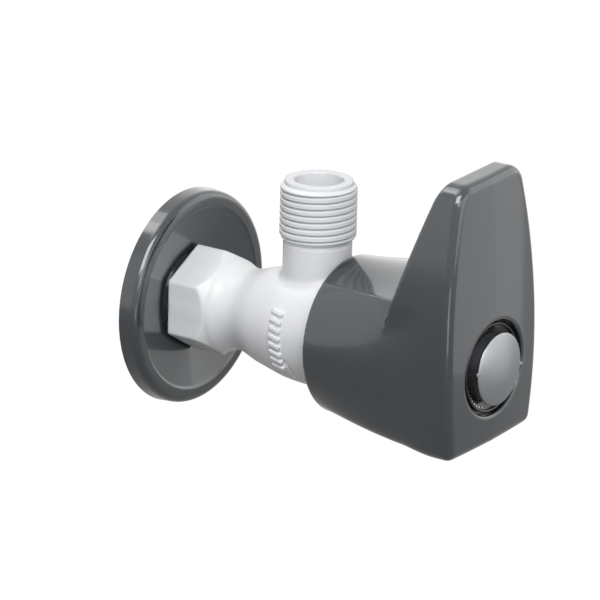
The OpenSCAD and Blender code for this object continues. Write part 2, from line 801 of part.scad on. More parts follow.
// Domed cap on a hollow plug
module button_cap() {
  curve_r = (dome_r * dome_r + dome_h * dome_h) / (2 * dome_h);
  half = asin(dome_r / curve_r);
  bore_r = plug_r - plug_wall;
  under = dome_from - dome_under;
  color("lightgray") along_axis() rotate_extrude() polygon(concat(
    [[bore_r, plug_floor], [plug_r, plug_floor], [plug_r, under],
     [dome_r - chamfer_s, dome_from - chamfer_l], [dome_r, dome_from - chamfer_s]],
    [for (i = [0:12]) let (a = half * (1 - i / 12))
      [curve_r * sin(a), dome_from + dome_h - curve_r + curve_r * cos(a)]],
    [[0, under], [bore_r - chamfer_l, under], [bore_r, under - chamfer_l]]
  ));
}

body();
wall_flange();
cartridge_housing();
cartridge_o_ring();
seat_seal();
seal_support_ring();
fixed_disc();
moving_disc();
spindle();
thrust_washer();
spindle_o_ring_inner();
spindle_o_ring_outer();
stop_ring();
circlip();
spline_bush();
handle();
handle_screw();
screw_washer();
indicator_ring();
button_cap();
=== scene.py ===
import math
import json
import bpy
import numpy as np
from mathutils import Matrix, Vector

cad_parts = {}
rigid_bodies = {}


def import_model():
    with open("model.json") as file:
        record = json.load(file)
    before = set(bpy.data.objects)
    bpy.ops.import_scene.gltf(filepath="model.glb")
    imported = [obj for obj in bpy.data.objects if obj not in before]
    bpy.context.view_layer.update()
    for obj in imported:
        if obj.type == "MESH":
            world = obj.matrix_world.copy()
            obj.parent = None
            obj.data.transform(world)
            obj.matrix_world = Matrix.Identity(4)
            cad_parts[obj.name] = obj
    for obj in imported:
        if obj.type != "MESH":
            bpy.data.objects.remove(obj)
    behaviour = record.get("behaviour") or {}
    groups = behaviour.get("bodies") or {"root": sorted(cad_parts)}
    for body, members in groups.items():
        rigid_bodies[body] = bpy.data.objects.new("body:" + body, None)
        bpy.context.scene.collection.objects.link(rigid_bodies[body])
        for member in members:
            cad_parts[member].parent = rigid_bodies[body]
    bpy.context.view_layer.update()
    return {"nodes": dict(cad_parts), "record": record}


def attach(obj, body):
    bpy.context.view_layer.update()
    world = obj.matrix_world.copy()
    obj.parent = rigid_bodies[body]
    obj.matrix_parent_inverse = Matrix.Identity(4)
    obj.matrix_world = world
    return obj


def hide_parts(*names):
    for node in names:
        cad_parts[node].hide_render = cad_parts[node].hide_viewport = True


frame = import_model()
print("frame loaded:", len(frame["nodes"]), "nodes")

# Sizes below are in millimetres, and finished meshes are in metres.
# Depth is the distance from the wall towards the handle, so it runs along -Y.
mm = 0.001
lap = 1.0  # solids and cuts that meet run this far past each other


def linearColour(code):
    parts = [int(code[i:i + 2], 16) / 255 for i in (1, 3, 5)]
    return [c / 12.92 if c < 0.04045 else ((c + 0.055) / 1.055) ** 2.4 for c in parts] + [1.0]


def addNode(tree, kind, inputs=None, **settings):
    # an input takes a value, a node for its first output, or an output
    node = tree.nodes.new(kind)
    for key, value in settings.items():
        setattr(node, key, value)
    for key, value in (inputs or {}).items():
        if isinstance(value, bpy.types.Node):
            value = value.outputs[0]
        if isinstance(value, bpy.types.NodeSocket):
            tree.links.new(value, node.inputs[key])
        else:
            node.inputs[key].default_value = value
    return node


def meshObject(name, points, faces, material, smoothAngle=50):
    mesh = bpy.data.meshes.new(name)
    mesh.from_pydata((np.asarray(points) * mm).tolist(), [], faces)
    mesh.validate()
    mesh.materials.append(material)
    mesh.shade_smooth()
    mesh.set_sharp_from_angle(angle=math.radians(smoothAngle))
    piece = bpy.data.objects.new(name, mesh)
    bpy.context.collection.objects.link(piece)
    return piece


# Rounded corner of the space that is inside both a and b
def roundBoth(a, b, r):
    x, y = np.maximum(a + r, 0), np.maximum(b + r, 0)
    return np.minimum(np.maximum(a, b), -r) + np.hypot(x, y)


# Fillet where a and b join
def roundEither(a, b, r):
    return -roundBoth(-a, -b, r)


# Rises from 0 to 1 between two values, with a soft start and end
def smooth(value, start, end):
    t = np.clip((value - start) / (end - start), 0, 1)
    return t * t * (3 - 2 * t)


# Mesh of the surface where field is 0: one point in each grid cell that the surface crosses,
# then moved onto the surface along the field's slope, in a few short moves
def surfaceMesh(field, low, high, step, moves=4, leastSlope=0.2):
    low = np.array(low, float)
    counts = np.ceil((np.array(high) - low) / step).astype(int) + 1
    axes = [low[i] + step * np.arange(counts[i]) for i in range(3)]
    grid = np.stack(np.meshgrid(*axes, indexing="ij"), -1).reshape(-1, 3)
    values = field(grid).reshape(counts)
    inside = values < 0
    cells = counts - 1
    total = np.zeros(tuple(cells) + (3,))
    hits = np.zeros(tuple(cells))
    crossings = []
    for axis in range(3):
        a = np.take(values, np.arange(cells[axis]), axis)
        b = np.take(values, np.arange(1, counts[axis]), axis)
        cross = (a < 0) != (b < 0)
        share = np.where(cross, a / np.where(cross, a - b, 1), 0)
        lines = [low[i] + step * np.arange(cross.shape[i]) for i in range(3)]
        where = np.stack(np.meshgrid(*lines, indexing="ij"), -1)
        where[..., axis] += share * step
        crossings.append(cross)
        others = [i for i in range(3) if i != axis]
        for j in (0, 1):
            for k in (0, 1):
                part = [slice(None)] * 3
                part[others[0]] = slice(j, cells[others[0]] + j)
                part[others[1]] = slice(k, cells[others[1]] + k)
                part = tuple(part)
                total += where[part] * cross[part][..., None]
                hits += cross[part]
    used = hits > 0
    ids = -np.ones(tuple(cells), int)
    ids[used] = np.arange(used.sum())
    points = total[used] / hits[used][:, None]
    faces = []
    for axis in range(3):
        one, two = (axis + 1) % 3, (axis + 2) % 3
        at = np.argwhere(crossings[axis])
        at = at[(at[:, one] > 0) & (at[:, two] > 0)]
        at = at[(at[:, one] < cells[one]) & (at[:, two] < cells[two])]
        corners = []
        for j, k in ((-1, -1), (0, -1), (0, 0), (-1, 0)):
            cell = at.copy()
            cell[:, one] += j
            cell[:, two] += k
            corners.append(ids[tuple(cell.T)])
        quads = np.stack(corners, 1)
        outward = inside[tuple(at.T)]
        faces.append(np.where(outward[:, None], quads, quads[:, ::-1]))
    faces = np.concatenate(faces)
    probe = step / 5
    for turn in range(moves):
        slope = np.stack([field(points + probe * axis) - field(points - probe * axis)
                          for axis in np.eye(3)], 1) / (2 * probe)
        move = field(points)[:, None] * slope / np.maximum((slope ** 2).sum(1), leastSlope)[:, None]
        points = points - np.clip(move, -step / 2, step / 2)
    return points, faces.tolist()


# Turns points given as across, up and depth into the part's frame
def placed(points, turn=0):
    a = math.radians(turn)
    across, up, depth = np.asarray(points, float).T
    return np.stack([across * math.cos(a) - up * math.sin(a), -depth,
                     across * math.sin(a) + up * math.cos(a)], 1)


# Revolves an outline of (radius, depth) pairs round the main axis
def lathe(name, outline, material, around, closed=True):
    points, faces, rows = [], [], []
    for radius, depth in outline:
        if radius == 0:
            rows.append([len(points)])
            points.append([0, -depth, 0])
            continue
        rows.append([len(points) + i for i in range(around)])
        points += [[radius * math.cos(2 * math.pi * i / around), -depth,
                    radius * math.sin(2 * math.pi * i / around)] for i in range(around)]
    pairs = list(zip(rows, rows[1:] + rows[:1])) if closed else list(zip(rows, rows[1:]))
    for lowRow, highRow in pairs:
        for i in range(around):
            j = (i + 1) % around
            if len(lowRow) > 1 and len(highRow) > 1:
                faces.append([lowRow[i], lowRow[j], highRow[j], highRow[i]])
            elif len(lowRow) > 1:
                faces.append([lowRow[i], lowRow[j], highRow[0]])
            elif len(highRow) > 1:
                faces.append([lowRow[0], highRow[j], highRow[i]])
    return meshObject(name, points, faces, material, smoothAngle=30)


# Points of an arc, angles in degrees
def arc(centre, r, start, end, steps):
    angles = [math.radians(start + (end - start) * i / steps) for i in range(steps + 1)]
    return [(centre[0] + r * math.cos(a), centre[1] + r * math.sin(a)) for a in angles]


def newMaterial(name):
    material = bpy.data.materials.new(name)
    material.use_nodes = True
    material.node_tree.nodes.clear()
    return material


# Moulded or pressed skin: smooth, with a faint orange peel and a gloss that is slightly uneven
def mouldedSkin(name, look):
    material = newMaterial(name)
    tree = material.node_tree
    place = addNode(tree, "ShaderNodeTexCoord").outputs["Object"]
    cloud = addNode(tree, "ShaderNodeTexNoise", {"Vector": place, "Scale": 1 / (look["cloudSize"] * mm),
                                                 "Detail": 2.0})
    colour = addNode(tree, "ShaderNodeMix", {"Factor": cloud.outputs["Fac"], 6: linearColour(look["colour"]),
                                             7: linearColour(look["colourB"])}, data_type="RGBA")
    gloss = addNode(tree, "ShaderNodeTexNoise", {"Vector": place, "Scale": 1 / (look["glossSize"] * mm),
                                                 "Detail": 3.0})
    rough = addNode(tree, "ShaderNodeMapRange", {"Value": gloss.outputs["Fac"],
                                                 "To Min": look["roughness"][0],
                                                 "To Max": look["roughness"][1]})
    peel = addNode(tree, "ShaderNodeTexNoise", {"Vector": place, "Scale": 1 / (look["peelSize"] * mm),
                                                "Detail": 1.0})
    bump = addNode(tree, "ShaderNodeBump", {"Height": peel.outputs["Fac"], "Strength": look["peelStrength"],
                                            "Distance": look["peelHeight"] * mm})
    shader = addNode(tree, "ShaderNodeBsdfPrincipled", {
        "Base Color": colour.outputs[2], "Roughness": rough, "IOR": look["ior"],
        "Normal": bump, "Coat Weight": look["coat"], "Coat Roughness": look["coatRoughness"]})
    addNode(tree, "ShaderNodeOutputMaterial", {"Surface": shader})
    return material


# White acetal, injection moulded: bright, dense and softly glossy
whiteAcetal = mouldedSkin("whiteAcetal", {
    "colour": "#EDEEF0", "colourB": "#E7E9EB", "cloudSize": 30, "glossSize": 6, "roughness": (0.30, 0.38),
    "peelSize": 0.9, "peelStrength": 0.15, "peelHeight": 0.02, "ior": 1.48,
    "coat": 0.0, "coatRoughness": 0.1})
# Dark grey ABS under clear lacquer: a cool grey with soft highlights, and the lacquer's sharp ones on top
greyAbs = mouldedSkin("greyAbs", {
    "colour": "#282F35", "colourB": "#262D32", "cloudSize": 40, "glossSize": 8, "roughness": (0.16, 0.24),
    "peelSize": 1.1, "peelStrength": 0.12, "peelHeight": 0.02, "ior": 1.53,
    "coat": 1.0, "coatRoughness": 0.06})
# Black ABS ring, polished: nearly black with tight highlights
blackAbs = mouldedSkin("blackAbs", {
    "colour": "#0E0F10", "colourB": "#0C0D0E", "cloudSize": 20, "glossSize": 5, "roughness": (0.08, 0.14),
    "peelSize": 0.8, "peelStrength": 0.1, "peelHeight": 0.02, "ior": 1.53,
    "coat": 0.0, "coatRoughness": 0.1})
# Natural acetal washers, moulded: creamy white and waxy
naturalAcetal = mouldedSkin("naturalAcetal", {
    "colour": "#E9E6DA", "colourB": "#E2DFD2", "cloudSize": 8, "glossSize": 3, "roughness": (0.38, 0.48),
    "peelSize": 0.7, "peelStrength": 0.2, "peelHeight": 0.02, "ior": 1.48,
    "coat": 0.0, "coatRoughness": 0.1})
# EPDM rubber, moulded: matt black with a powdery bloom
rubberEpdm = mouldedSkin("rubberEpdm", {
    "colour": "#1C1C1D", "colourB": "#262626", "cloudSize": 3, "glossSize": 2, "roughness": (0.6, 0.75),
    "peelSize": 0.4, "peelStrength": 0.3, "peelHeight": 0.02, "ior": 1.52,
    "coat": 0.0, "coatRoughness": 0.1})
# Alumina ceramic, lapped: off-white and very smooth, like fine china
aluminaCeramic = mouldedSkin("aluminaCeramic", {
    "colour": "#EFEDE4", "colourB": "#E8E5DA", "cloudSize": 4, "glossSize": 2, "roughness": (0.12, 0.2),
    "peelSize": 0.3, "peelStrength": 0.05, "peelHeight": 0.01, "ior": 1.76,
    "coat": 0.0, "coatRoughness": 0.1})


# Turned metal: rings left by the tool round the main axis, and small clouds of tarnish.
# The rings are drawn about twice as wide as a lathe leaves them, so that they show in a close view.
def turnedMetal(name, look):
    material = newMaterial(name)
    tree = material.node_tree
    place = addNode(tree, "ShaderNodeTexCoord").outputs["Object"]
    # squeezed across the axis, so that the noise reads as rings and not as grains
    stretched = addNode(tree, "ShaderNodeMapping", {"Vector": place, "Scale": (0.1, 1.0, 0.1)})
    rings = addNode(tree, "ShaderNodeTexNoise", {"Vector": stretched, "Scale": 1 / (look["ringSize"] * mm),
                                                 "Detail": 2.0})
    cloud = addNode(tree, "ShaderNodeTexNoise", {"Vector": place, "Scale": 1 / (look["cloudSize"] * mm),
                                                 "Detail": 4.0})
    colour = addNode(tree, "ShaderNodeMix", {"Factor": cloud.outputs["Fac"], 6: linearColour(look["colour"]),
                                             7: linearColour(look["colourB"])}, data_type="RGBA")
    rough = addNode(tree, "ShaderNodeMapRange", {"Value": cloud.outputs["Fac"],
                                                 "To Min": look["roughness"][0],
                                                 "To Max": look["roughness"][1]})
    bump = addNode(tree, "ShaderNodeBump", {"Height": rings.outputs["Fac"], "Strength": look["ringStrength"],
                                            "Distance": look["ringHeight"] * mm})
    shader = addNode(tree, "ShaderNodeBsdfPrincipled", {
        "Base Color": colour.outputs[2], "Metallic": 1.0, "Roughness": rough, "Normal": bump})
    addNode(tree, "ShaderNodeOutputMaterial", {"Surface": shader})
    return material


# Brass, turned from bar: warm yellow with fine tool rings and a little tarnish
turnedBrass = turnedMetal("turnedBrass", {
    "colour": "#D9B56A", "colourB": "#C29B52", "cloudSize": 5, "ringSize": 0.25, "ringStrength": 0.3,
    "ringHeight": 0.02, "roughness": (0.22, 0.36)})
# Stainless steel, turned and pressed: a plain grey metal
stainlessSteel = turnedMetal("stainlessSteel", {
    "colour": "#C9C9CB", "colourB": "#B9BABC", "cloudSize": 4, "ringSize": 0.2, "ringStrength": 0.25,
    "ringHeight": 0.015, "roughness": (0.22, 0.32)})
# Satin chrome on plastic, plated over a blasted skin: silvery with a blurred, milky sheen
satinChrome = turnedMetal("satinChrome", {
    "colour": "#9EA0A4", "colourB": "#95989C", "cloudSize": 9, "ringSize": 0.5, "ringStrength": 0.05,
    "ringHeight": 0.01, "roughness": (0.3, 0.36)})
print("materials made")

# The handle: a skirt whose round rim blends into a square front, and a fin on a flat deck.
# The surface is drawn from a table of the skirt's radii, a field of distances and a grid of cells.
handle = {
    "phase": 3.5, "rimR": 21.8, "rimDepth": 55.6, "rimChamfer": 0.4, "faceDepth": 103.9, "faceCrown": 1.0,
    "halfW": 21.4, "widest": 5.0, "sideR": 168.0, "bottom": 21.8, "deck": 21.4, "deckEdgeR": 0.3,
    "finTop": 53.9, "finRoot": 84.2, "finSlope": 0.359, "footR": 2.6, "topR": 4.6, "edgeR": 2.5,
    "finEdgeR": 0.6, "fallLow": 1.3, "fallHigh": 0.7, "crownY": 14.0, "ridge": 0.3, "inset": 0.15,
    "loftEnd": 98.0, "loftRows": 90, "loftStep": 0.25, "turnStep": 0.2, "bulge": 0.5, "belly": 0.5,
    "cornerPower": 12.5, "crease": 56.2, "creaseBlur": 0.6, "blurReach": 24, "blendFrom": 85.0,
    "blendTo": 97.0, "tuck": 1.7, "tuckFrom": 9.0, "finFoot": 4.0, "deckFillet": 0.6, "skirtR": 18.2,
    "cavityEnd": 73.5, "pocketR": 16.8, "pocketEnd": 88.5, "bossR": 9.0, "ribW": 2.0, "ribCount": 6,
    "bushR": 6.3, "webFrom": 81.9, "webTop": 84.9, "screwR": 2.2, "headR": 4.6, "plugR": 9.3,
    "plugFloor": 90.0, "recessR": 13.25, "recessFloor": 98.0, "recessEdge": 0.7,
    "low": (-22.6, -23.2, 54.6), "high": (22.6, 55.2, 105.2), "step": 0.55}


# Half the handle's width at a height: its sides are arcs, widest a little above the axis
def handleSideWidth(up):
    return handle["halfW"] - (up - handle["widest"]) ** 2 / (2 * handle["sideR"])


# Radius of the handle's skirt by depth and direction, from the round rim to the square front.
# The rim's points at the crease run to the front's upper corners, and a blur softens that crease.
def handleLoftTable():
    h = handle
    depths = np.linspace(h["rimDepth"], h["loftEnd"], h["loftRows"])
    around = np.radians(np.arange(-180, 180.01, h["loftStep"]))
    corner = math.degrees(math.atan2(h["deck"], h["halfW"] - h["inset"]))
    turn = np.arange(h["crease"], 360 + h["crease"], h["turnStep"])
    top = 90 + (turn - 90) * (90 - corner) / (90 - h["crease"])
    low = 270 + (turn - 270) * (90 + corner) / (90 + h["crease"])
    front = np.radians(np.where(turn < 180 - h["crease"], top, low))
    c, s = np.abs(np.cos(front)), np.sin(front)
    w, b = h["halfW"] - h["inset"], h["bottom"] - h["inset"]
    upper = np.minimum(w / np.maximum(c, 1e-3), h["deck"] / np.maximum(s, 1e-3))
    lower = ((c / w) ** h["cornerPower"] + (np.abs(s) / b) ** h["cornerPower"]) ** (-1 / h["cornerPower"])
    reach = np.where(s > 0, upper, lower)
    frontUp = reach * s
    frontAcross = reach * np.cos(front) * handleSideWidth(frontUp) / h["halfW"]
    rimAcross, rimUp = h["rimR"] * np.cos(np.radians(turn)), h["rimR"] * np.sin(np.radians(turn))
    blur = np.arange(-h["blurReach"], h["blurReach"] + 1)
    weights = np.exp(-(blur * h["loftStep"] / h["creaseBlur"]) ** 2 / 2)
    rows = []
    for depth in depths:
        t = (depth - h["rimDepth"]) / (h["loftEnd"] - h["rimDepth"])
        t = t + (h["bulge"] + h["belly"] * np.maximum(0, -np.sin(np.radians(turn)))) * t * (1 - t)
        across = rimAcross * (1 - t) + frontAcross * t
        up = rimUp * (1 - t) + frontUp * t
        angle = np.arctan2(up, across)
        order = np.argsort(angle)
        radius = np.interp(around, angle[order], np.hypot(across, up)[order], period=2 * math.pi)
        soft = sum(weight * np.roll(radius[:-1], int(k)) for k, weight in zip(blur, weights)) / weights.sum()
        rows.append(np.append(soft, soft[0]))
    return np.array(rows)


loftTable = handleLoftTable()


# Reads the table between its rows and columns
def handleLoftRadius(angle, depth):
    h = handle
    rows, columns = loftTable.shape
    row = np.clip((depth - h["rimDepth"]) / (h["loftEnd"] - h["rimDepth"]), 0, 1) * (rows - 1)
    column = (np.degrees(angle) + 180) / 360 * (columns - 1)
    i = np.minimum(row.astype(int), rows - 2)
    j = np.clip(column.astype(int), 0, columns - 2)
    a, b = row - i, column - j
    return ((loftTable[i, j] * (1 - b) + loftTable[i, j + 1] * b) * (1 - a)
            + (loftTable[i + 1, j] * (1 - b) + loftTable[i + 1, j + 1] * b) * a)


# Distance from the handle's skin, below 0 inside
def handleField(points):
    h = handle
    across, up, depth = points.T
    radius = np.hypot(across, up)
    loft = radius - handleLoftRadius(np.arctan2(up, across), depth)
    slope = -(up - h["widest"]) / h["sideR"]
    side = (np.abs(across) - handleSideWidth(up)) / np.sqrt(1 + slope ** 2)
    low = roundBoth(side, np.maximum(-h["bottom"] - up, up - h["deck"]),
                    np.where(up < 0, h["footR"], h["deckEdgeR"]))
    tall = roundBoth(side, np.maximum(-h["bottom"] - up, up - h["finTop"]),
                     np.where(up < 0, h["footR"], h["topR"]))
    body = loft + (low - loft) * smooth(depth, h["blendFrom"], h["blendTo"])
    # below the deck the fin draws in, so that its rear edge fades out in the side
    fin = tall + h["tuck"] * (1 - smooth(up, h["tuckFrom"], h["deck"]))
    rear = (h["finRoot"] + (up - h["deck"]) * h["finSlope"] - depth) / math.sqrt(1 + h["finSlope"] ** 2)
    fin = np.maximum(roundBoth(fin, rear, h["finEdgeR"]), h["finFoot"] - up)
    solid = np.maximum(roundEither(body, fin, h["deckFillet"]), np.minimum(body, tall))
    share = np.abs(across) / h["halfW"]
    crown = h["faceCrown"] * (h["ridge"] * share + (1 - h["ridge"]) * share ** 2)
    fall = np.where(up < h["crownY"], h["fallLow"] * ((h["crownY"] - up) / (h["crownY"] + h["bottom"])) ** 2,
                    h["fallHigh"] * ((up - h["crownY"]) / (h["finTop"] - h["crownY"])) ** 2)
    solid = roundBoth(solid, depth - h["faceDepth"] + crown + fall, h["edgeR"])
    solid = roundBoth(solid, h["rimDepth"] - depth, h["rimChamfer"])
    cavity = np.maximum(radius - h["skirtR"], depth - h["cavityEnd"])
    angle = np.arctan2(up, across)
    sector = 2 * math.pi / h["ribCount"]
    rib = radius * np.abs(np.sin((angle % sector) - sector / 2)) - h["ribW"] / 2
    pocket = np.maximum.reduce([radius - h["pocketR"], h["bossR"] - radius, -rib,
                                depth - h["pocketEnd"], h["rimDepth"] - depth])
    bush = np.maximum.reduce([radius - h["bushR"], depth - h["webFrom"], h["rimDepth"] - depth])
    screw = np.maximum(radius - h["screwR"], h["webFrom"] - lap - depth)
    head = np.maximum(radius - h["headR"], h["webTop"] - depth)
    plug = np.maximum(radius - h["plugR"], h["plugFloor"] - depth)
    hollow = np.minimum.reduce([cavity, pocket, bush, screw, head, plug])
    recess = np.maximum(radius - h["recessR"], h["recessFloor"] - depth)
    solid = roundBoth(solid, -recess, h["recessEdge"])
    return np.maximum(solid, -hollow)


points, faces = surfaceMesh(handleField, handle["low"], handle["high"], handle["step"])
handleShell = meshObject("handleShell", placed(points, handle["phase"]), faces, greyAbs)
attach(handleShell, "handle_set")
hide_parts("handle")
print("handle:", len(faces), "faces")

# The angle body: hexagon, waist and barrel round the main axis, and the outlet's neck on top
valve = {
    "hexAf": 26.3, "hexBack": 3.7, "hexFront": 16.2, "hexCone": 2.8, "coneExtra": 0.3, "hexEdgeR": 0.5,
    "coneEdgeR": 0.25, "hexFaceR": 0.3, "hexBackR": 0.6, "hexFillet": 0.4, "waistR": 11.45,
    "waistDepth": 22.2, "waistCurve": 9.0, "waistFrom": 145, "waistTo": 198, "kneeR": 13.5,
    "kneeDepth": 29.5, "shoulderR": 15.6, "shoulderDepth": 38.5, "barrelR": 16.25, "barrelSag": 0.2,
    "barrelFull": 45.5, "barrelEnd": 60.0, "endChamfer": 0.6, "outlineEnd": 66, "outlineStep": 0.1,
    "outlineSlope": 0.93, "blurSteps": 9, "blurReach": 25, "outletDepth": 44.43, "outletTop": 41.4,
    "outletBoreR": 6.7, "neckR": 9.4, "neckTopR": 0.2, "neckFillet": 1.4, "threadLow": 24.1,
    "threadTop": 40.4, "threadCoreR": 9.2, "threadCrest": 39.85, "noseR": 9.37, "noseDrop": 0.3,
    "noseEdge": 0.25, "boreEdge": 0.15, "shankR": 10.2, "inletLength": 14.0, "inletThreadLength": 10.884,
    "inletNose": 0.8, "inletEdgeR": 0.5, "inletBoreR": 6.5, "seatDepth": 33.0, "chamberR": 12.2,
    "threadFrom": 51.0, "housingR": 12.6, "ringSeat": 58.4, "ringR": 13.8, "seamR": 0.6,
    "seam": [(-14.81, -6.44, 44.1), (-13.78, -8.61, 45.7), (-11.08, -11.88, 45.5)],
    "low": (-17, -17, -14.9), "high": (17, 42.3, 61), "step": 0.45}


# Outline of waist and barrel as (depth, radius) pairs, up to past the barrel's end
def valveOutline():
    v = valve
    centre = v["waistR"] + v["waistCurve"]
    curve = [(v["waistDepth"] - v["waistCurve"] * math.sin(math.radians(a)),
              centre + v["waistCurve"] * math.cos(math.radians(a)))
             for a in np.linspace(v["waistFrom"], v["waistTo"], 25)]
    rest = [(v["kneeDepth"], v["kneeR"]), (v["shoulderDepth"], v["shoulderR"]),
            ((v["shoulderDepth"] + v["barrelFull"]) / 2, v["barrelR"] - v["barrelSag"]),
            (v["barrelFull"], v["barrelR"]), (v["outlineEnd"] - lap, v["barrelR"])]
    return curve + rest


outline = valveOutline()
valveDepths = np.arange(0, valve["outlineEnd"], valve["outlineStep"])
valveRadii = np.interp(valveDepths, [p[0] for p in outline], [p[1] for p in outline],
                       left=valve["hexAf"] / 2)
# A small blur rounds the places where one stretch of the outline meets the next
blurReach = valve["blurReach"]
blurKernel = np.exp(-(np.arange(-blurReach, blurReach + 1) / valve["blurSteps"]) ** 2 / 2)
valveRadii = np.convolve(np.pad(valveRadii, blurReach, mode="edge"), blurKernel / blurKernel.sum(),
                         mode="valid")


# Distance from a line between two points
def fromLine(points, start, end):
    start, end = np.array(start), np.array(end)
    along = np.clip((points - start) @ (end - start) / ((end - start) ** 2).sum(), 0, 1)
    return np.linalg.norm(points - start - along[:, None] * (end - start), axis=1)


# Distance from the body's skin, below 0 inside
def valveField(points):
    v = valve
    across, up, depth = points.T
    radius = np.hypot(across, up)
    # a sloping outline is nearer than the radius says
    barrel = (radius - np.interp(depth, valveDepths, valveRadii)) * v["outlineSlope"]
    barrel = roundBoth(barrel, depth - v["barrelEnd"], v["endChamfer"])
    barrel = np.maximum(barrel, v["hexBack"] + lap - depth)
    flats = np.stack([np.abs(np.cos(a) * across + np.sin(a) * up) - v["hexAf"] / 2
                      for a in np.radians([0, 60, 120])])
    flats = np.sort(flats, axis=0)
    hexagon = roundBoth(flats[2], flats[1], v["hexEdgeR"])
    cornerR = v["hexAf"] / 2 / math.cos(math.radians(30))
    coneRise = (cornerR - v["hexAf"] / 2 + v["coneExtra"]) / v["hexCone"]
    cone = (radius - cornerR + (depth - v["hexFront"] + v["hexCone"]) * coneRise) / math.hypot(1, coneRise)
    hexagon = roundBoth(hexagon, cone, v["coneEdgeR"])
    hexagon = roundBoth(hexagon, depth - v["hexFront"], v["hexFaceR"])
    hexagon = roundBoth(hexagon, v["hexBack"] - depth, v["hexBackR"])
    main = roundEither(barrel, hexagon, v["hexFillet"])
    outRadius = np.hypot(across, depth - v["outletDepth"])
    neck = roundBoth(outRadius - v["neckR"], up - v["threadLow"], v["neckTopR"])
    core = outRadius - np.where(up < v["threadTop"] - v["noseDrop"], v["threadCoreR"], v["noseR"])
    neck = np.minimum(neck, roundBoth(core, up - v["outletTop"], v["noseEdge"]))
    neck = np.maximum(neck, -up)
    main = roundEither(main, neck, v["neckFillet"])
    shank = np.maximum(radius - v["shankR"], depth - v["hexBack"] - lap)
    shank = np.maximum(shank, -v["inletLength"] + v["inletNose"] + v["inletThreadLength"] - depth)
    core = roundBoth(radius - v["threadCoreR"], -v["inletLength"] - depth, v["inletEdgeR"])
    core = np.maximum(core, depth - v["hexBack"] - lap)
    main = np.minimum.reduce([main, shank, core])
    bores = [np.maximum(radius - v["inletBoreR"], depth - v["seatDepth"] - lap),
             np.maximum(radius - v["chamberR"], v["seatDepth"] - depth),
             np.maximum(radius - v["housingR"], v["threadFrom"] - depth),
             np.maximum(radius - v["ringR"], v["ringSeat"] - depth)]
    # the outlet's bore is cut only above the main axis
    bore = roundBoth(main, v["outletBoreR"] - outRadius, v["boreEdge"])
    main = np.where(up > 0, bore, main)
    # a short groove of the mould's seam shows at the barrel's lower left
    seam = np.minimum(fromLine(points, *v["seam"][:2]), fromLine(points, *v["seam"][1:]))
    main = np.maximum(main, v["seamR"] - seam)
    return np.maximum(main, -np.minimum.reduce(bores))


points, faces = surfaceMesh(valveField, valve["low"], valve["high"], valve["step"])
valveBody = meshObject("valveBody", placed(points), faces, whiteAcetal)
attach(valveBody, "valve_body")
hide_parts("body")
print("body:", len(faces), "faces")

# Helical pipe threads, wound from a sheet whose rows follow the helix. Root and crest are given as
# shares of the pitch, and the ridge fades out at both ends.
thread = {"crestR": 10.4775, "depth": 1.162, "pitch": 1.814, "length": 14.0, "rowsPerTurn": 18,
          "around": 132, "runOut": 0.9, "runIn": 2.2, "rootEnd": 0.05, "crestStart": 0.22,
          "weld": 0.002, "facing": -144.4}


